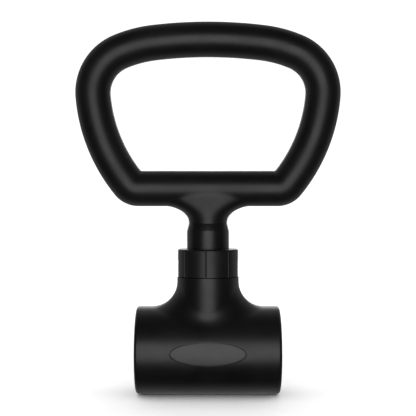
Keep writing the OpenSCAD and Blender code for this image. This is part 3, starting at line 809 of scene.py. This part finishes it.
sleeve_low, sleeve_high = node_box("neck_sleeve")
SLEEVE_R = sleeve_high[0]
STEM_BORE_R = 9.05
CHAMFER_Z = 95.4
CROSS_PIN_R = 2.05
CROSS_PIN = (0, 0, 56)
KEY_HALF = 2.5
KEY_DEEP = 1.75
KEY_LOW_Z = 51.0
sleeve_top = sleeve_high[2]
sleeve = lathe("sleeve", [
    (STEM_BORE_R, sleeve_low[2]), (SLEEVE_R - 0.3, sleeve_low[2]), (SLEEVE_R, sleeve_low[2] + 0.3),
    (SLEEVE_R, CHAMFER_Z - 0.5), (SLEEVE_R - 0.06, CHAMFER_Z), (SLEEVE_R - 0.22, CHAMFER_Z + 0.5),
    (NECK_R + 0.12, sleeve_top - 0.45), (NECK_R - 0.05, sleeve_top - 0.12), (NECK_R - 0.3, sleeve_top),
    (STEM_BORE_R, sleeve_top)], 192)
boolean(sleeve, "DIFFERENCE", block("keyway", (-KEY_HALF, SLEEVE_R - KEY_DEEP, KEY_LOW_Z),
                                    (KEY_HALF, SLEEVE_R + PAST, sleeve_top - 3)))
boolean(sleeve, "DIFFERENCE", cylinder("pin", CROSS_PIN_R, -30, 30, "x", CROSS_PIN, 48))
finish_piece(sleeve, "sleeve", "base", "neck_sleeve", "sleeve_plastic", round_distance(SLEEVE_R))


def thread_ridge(foot_r, crest_r, from_a, turn_a, z, lead):
    """One start of a thread, with a rounded crest that runs out at both ends."""
    steps = int(turn_a / 3)
    run_out = 3 / 14
    # Section of the ridge: share of the full height, and place across it
    shape = [(0.0, -1.4), (0.62, -0.78), (0.9, -0.62), (1.0, -0.36), (1.0, 0.36), (0.9, 0.62),
             (0.62, 0.78), (0.0, 1.4)]
    n = len(shape)
    verts = []
    for i in range(steps + 1):
        a = math.radians(from_a + turn_a * i / steps)
        rise = min(1.0, 0.08 + i * run_out, 0.08 + (steps - i) * run_out)
        mid = z + lead * turn_a * i / steps / 360
        for height, w in shape:
            r = foot_r + (crest_r - foot_r) * height * rise
            verts.append((r * math.cos(a), r * math.sin(a), mid + w * (0.4 + 0.6 * rise)))
    faces = [[k * n + j, k * n + (j + 1) % n, (k + 1) * n + (j + 1) % n, (k + 1) * n + j]
             for k in range(steps) for j in range(n)]
    faces += [list(range(n))[::-1], [steps * n + j for j in range(n)]]
    return raw_object("ridge", *outward(verts, faces))


LEAD = 15.0
STARTS = 3
MALE_Z = 61.2
MALE_CREST_R = 20.2
MALE_TURN_A = 210
ROOT = 0.4
SPIGOT_R = 19.0
SPIGOT_BORE = 16.8
FOOT_BORE = 13.2
FOOT_Z = 31.0
LEDGE_LOW_Z = 48.0
LEDGE_TOP_Z = 52.0
STEM_HOLE_R = 6.1
spigot_top = node_box("threaded_spigot")[1][2]
# Ears of the spigot, on the front shell's screw bosses
EAR_R = 3.5
EAR_HOLE_R = 2.2
EAR_INNER_X = 14.2
spigot = lathe("spigot", [
    (FOOT_BORE, FOOT_Z + 0.4), (FOOT_BORE + 0.4, FOOT_Z), (SPIGOT_R - 0.4, FOOT_Z),
    (SPIGOT_R, FOOT_Z + 0.4), (SPIGOT_R, spigot_top - 0.8),
    (SPIGOT_R - 0.25, spigot_top - 0.25), (SPIGOT_R - 0.8, spigot_top), (SPIGOT_BORE + 0.3, spigot_top),
    (SPIGOT_BORE, spigot_top - 0.3), (SPIGOT_BORE, LEDGE_TOP_Z), (STEM_HOLE_R, LEDGE_TOP_Z),
    (STEM_HOLE_R, LEDGE_LOW_Z), (FOOT_BORE, LEDGE_LOW_Z)], 192)
for i in range(STARTS):
    ridge = thread_ridge(SPIGOT_R - ROOT, MALE_CREST_R, 360 / STARTS * i, MALE_TURN_A, MALE_Z, LEAD)
    boolean(spigot, "UNION", ridge)
for sign in (-1, 1):
    low_x, high_x = sorted((sign * EAR_INNER_X, sign * EAR_X))
    at_ear = (sign * EAR_X, 0, EAR_Z)
    ear = block("ear", (low_x, EAR_FRONT_Y, EAR_Z - EAR_R), (high_x, EAR_BACK_Y, EAR_Z + EAR_R))
    boolean(ear, "UNION", cylinder("ear end", EAR_R, EAR_FRONT_Y, EAR_BACK_Y, "y", at_ear, 64))
    boolean(ear, "DIFFERENCE", cylinder("ear hole", EAR_HOLE_R, -8, 0, "y", at_ear, 48))
    boolean(spigot, "UNION", ear)
boolean(spigot, "DIFFERENCE", cylinder("pin", CROSS_PIN_R, -40, 40, "x", CROSS_PIN, 48))
finish_piece(spigot, "spigot", "base", "threaded_spigot", "spigot_steel", round_distance(SPIGOT_R))

collar_low, collar_high = node_box("lock_collar")
COLLAR_R = collar_high[0]
c_low, c_top = collar_low[2], collar_high[2]
BORE_R = 20.55
LIP_R = 23.1
LIP_A = math.radians(15)
WEB = 4.0
CLIP_BELOW_WEB = 1.55
CLIP_GROOVE_R = 22.0
COLLAR_EYE_R = 17.05
web = c_top - WEB
clip_top = web - CLIP_BELOW_WEB
collar = lathe("collar", [
    (LIP_R, c_low), (COLLAR_R - 0.45, c_low), (COLLAR_R - 0.13, c_low + 0.13), (COLLAR_R, c_low + 0.45),
    (COLLAR_R, c_top - 1.1), (COLLAR_R - 0.13, c_top - 0.55), (COLLAR_R - 0.45, c_top - 0.2),
    (COLLAR_R - 1.0, c_top), (COLLAR_EYE_R + 0.35, c_top), (COLLAR_EYE_R, c_top - 0.35),
    (COLLAR_EYE_R, web), (BORE_R, web), (BORE_R, clip_top + 0.1), (CLIP_GROOVE_R, clip_top + 0.1),
    (CLIP_GROOVE_R, clip_top - 1.2), (BORE_R, clip_top - 1.2),
    (BORE_R, c_low + (LIP_R - BORE_R) * math.tan(LIP_A))], 240)
GROOVES = 8
GROOVE_R = 0.74
GROOVE_OUT = 0.24
FIRST_GROOVE_A = -94
groove_tip = c_top - 1.6
groove = [(0, c_low - PAST), (GROOVE_R, c_low - PAST)]
for t in np.radians(np.linspace(0, 90, 7))[:-1]:
    groove.append((GROOVE_R * math.cos(t), groove_tip + GROOVE_R * math.sin(t)))
groove.append((0, groove_tip + GROOVE_R))
for i in range(GROOVES):
    a = math.radians(FIRST_GROOVE_A + 360 / GROOVES * i)
    at_groove = ((COLLAR_R + GROOVE_OUT) * math.cos(a), (COLLAR_R + GROOVE_OUT) * math.sin(a), 0)
    boolean(collar, "DIFFERENCE", lathe("groove", groove, 32, "z", at_groove))
FEMALE_CREST_R = 19.35
FEMALE_TURN_A = 100
FEMALE_Z = MALE_Z + LEAD / (2 * STARTS)
for i in range(STARTS):
    ridge = thread_ridge(BORE_R + ROOT, FEMALE_CREST_R, 360 / STARTS * i, FEMALE_TURN_A, FEMALE_Z, LEAD)
    boolean(collar, "UNION", ridge)
finish_piece(collar, "collar", "collar", "lock_collar", "collar_plastic", round_distance(COLLAR_R))


# ---------------------------------------------------------------- hinge pin

PIN_R = 2.0
HEAD_R = 2.8
HEAD_T = 1.2
end = node_box("hinge_pin")[1][0]
pin = lathe("pin", [
    (0, -end), (PIN_R - 0.5, -end), (PIN_R - 0.1, -end + 0.25), (PIN_R, -end + 0.6),
    (PIN_R, end - HEAD_T), (HEAD_R, end - HEAD_T), (HEAD_R, end - 0.5), (HEAD_R - 0.25, end - 0.2),
    (HEAD_R - 0.8, end - 0.04), (0, end)], 64, "x", HINGE)
finish_piece(pin, "pin", "base", "hinge_pin", "core_steel", sharp_deg=35)


# ---------------------------------------------------------------- stage, light and camera

FLOOR_HALF = 30.0
lowest = min(corner[2] for corner in cad_box)
floor = raw_object("floor", [(-FLOOR_HALF, -FLOOR_HALF, lowest), (FLOOR_HALF, -FLOOR_HALF, lowest),
                             (FLOOR_HALF, FLOOR_HALF, lowest), (-FLOOR_HALF, FLOOR_HALF, lowest)],
                   [[0, 1, 2, 3]])
paint, nodes, links, shader, at = new_material("pale floor")
grain = noise(nodes, links, at, size_mm=40, detail=4)
links.new(mixed(nodes, links, ramp(nodes, links, grain, 0, 1), (0.93, 0.93, 0.93), (0.95, 0.95, 0.95)),
          shader.inputs["Base Color"])
shader.inputs["Roughness"].default_value = 0.9
shader.inputs["Specular IOR Level"].default_value = 0.1
floor.data.materials.append(paint)
floor.visible_glossy = False
floor.visible_shadow = False


def soft_box(name, place, target, size, power):
    """A round area light that faces the target."""
    data = bpy.data.lights.new(name, "AREA")
    data.shape = "DISK"
    data.size = size
    data.energy = power
    obj = bpy.data.objects.new(name, data)
    scene.collection.objects.link(obj)
    obj.location = place
    obj.rotation_euler = (Vector(target) - Vector(place)).to_track_quat("-Z", "Y").to_euler()


def studio_wall(radius, strength, start, full):
    """A dome that only reflections see: bright behind the object and dark in front of it."""
    bpy.ops.mesh.primitive_uv_sphere_add(segments=64, ring_count=32, radius=radius)
    dome = bpy.context.object
    dome.name = "studio_wall"
    wall = bpy.data.materials.new("studio wall")
    wall.use_nodes = True
    nodes, links = wall.node_tree.nodes, wall.node_tree.links
    nodes.clear()
    place = nodes.new("ShaderNodeTexCoord").outputs["Object"]
    split = nodes.new("ShaderNodeSeparateXYZ")
    links.new(place, split.inputs[0])
    fade = nodes.new("ShaderNodeMapRange")
    fade.interpolation_type = "SMOOTHSTEP"
    fade.inputs["From Min"].default_value = start * radius
    fade.inputs["From Max"].default_value = full * radius
    fade.inputs["To Min"].default_value = 0.0
    fade.inputs["To Max"].default_value = strength
    links.new(split.outputs["Y"], fade.inputs["Value"])
    glow = nodes.new("ShaderNodeEmission")
    links.new(fade.outputs["Result"], glow.inputs["Strength"])
    out = nodes.new("ShaderNodeOutputMaterial")
    links.new(glow.outputs[0], out.inputs["Surface"])
    dome.data.materials.append(wall)
    dome.visible_camera = dome.visible_diffuse = dome.visible_shadow = False
    dome.visible_transmission = False


WHITE = (1, 1, 1, 1)
middle = (0.0, 0.0, 0.10)
soft_box("front box", (0.0, -1.55, 0.093), middle, size=1.45, power=10.5)
soft_box("back box", (0.0, 1.75, 0.45), middle, size=1.30, power=8.0)
studio_wall(radius=8.0, strength=0.34, start=-0.1, full=0.5)

world = bpy.data.worlds.new("studio")
scene.world = world
world.use_nodes = True
background = world.node_tree.nodes["Background"]
background.inputs["Color"].default_value = WHITE
background.inputs["Strength"].default_value = 1.15
world.cycles_visibility.glossy = False

CAMERA_Y = -0.736
CAMERA_Z = 0.1134
LENS_MM = 79.5
SENSOR_MM = 36.0
lens = bpy.data.cameras.new("camera")
lens.lens = LENS_MM
lens.sensor_width = SENSOR_MM
lens.clip_start, lens.clip_end = 0.01, 100
camera = bpy.data.objects.new("camera", lens)
scene.collection.objects.link(camera)
camera.location = (0.0, CAMERA_Y, CAMERA_Z)
camera.rotation_euler = (math.pi / 2, 0, 0)
scene.camera = camera
scene.view_settings.view_transform = "Standard"
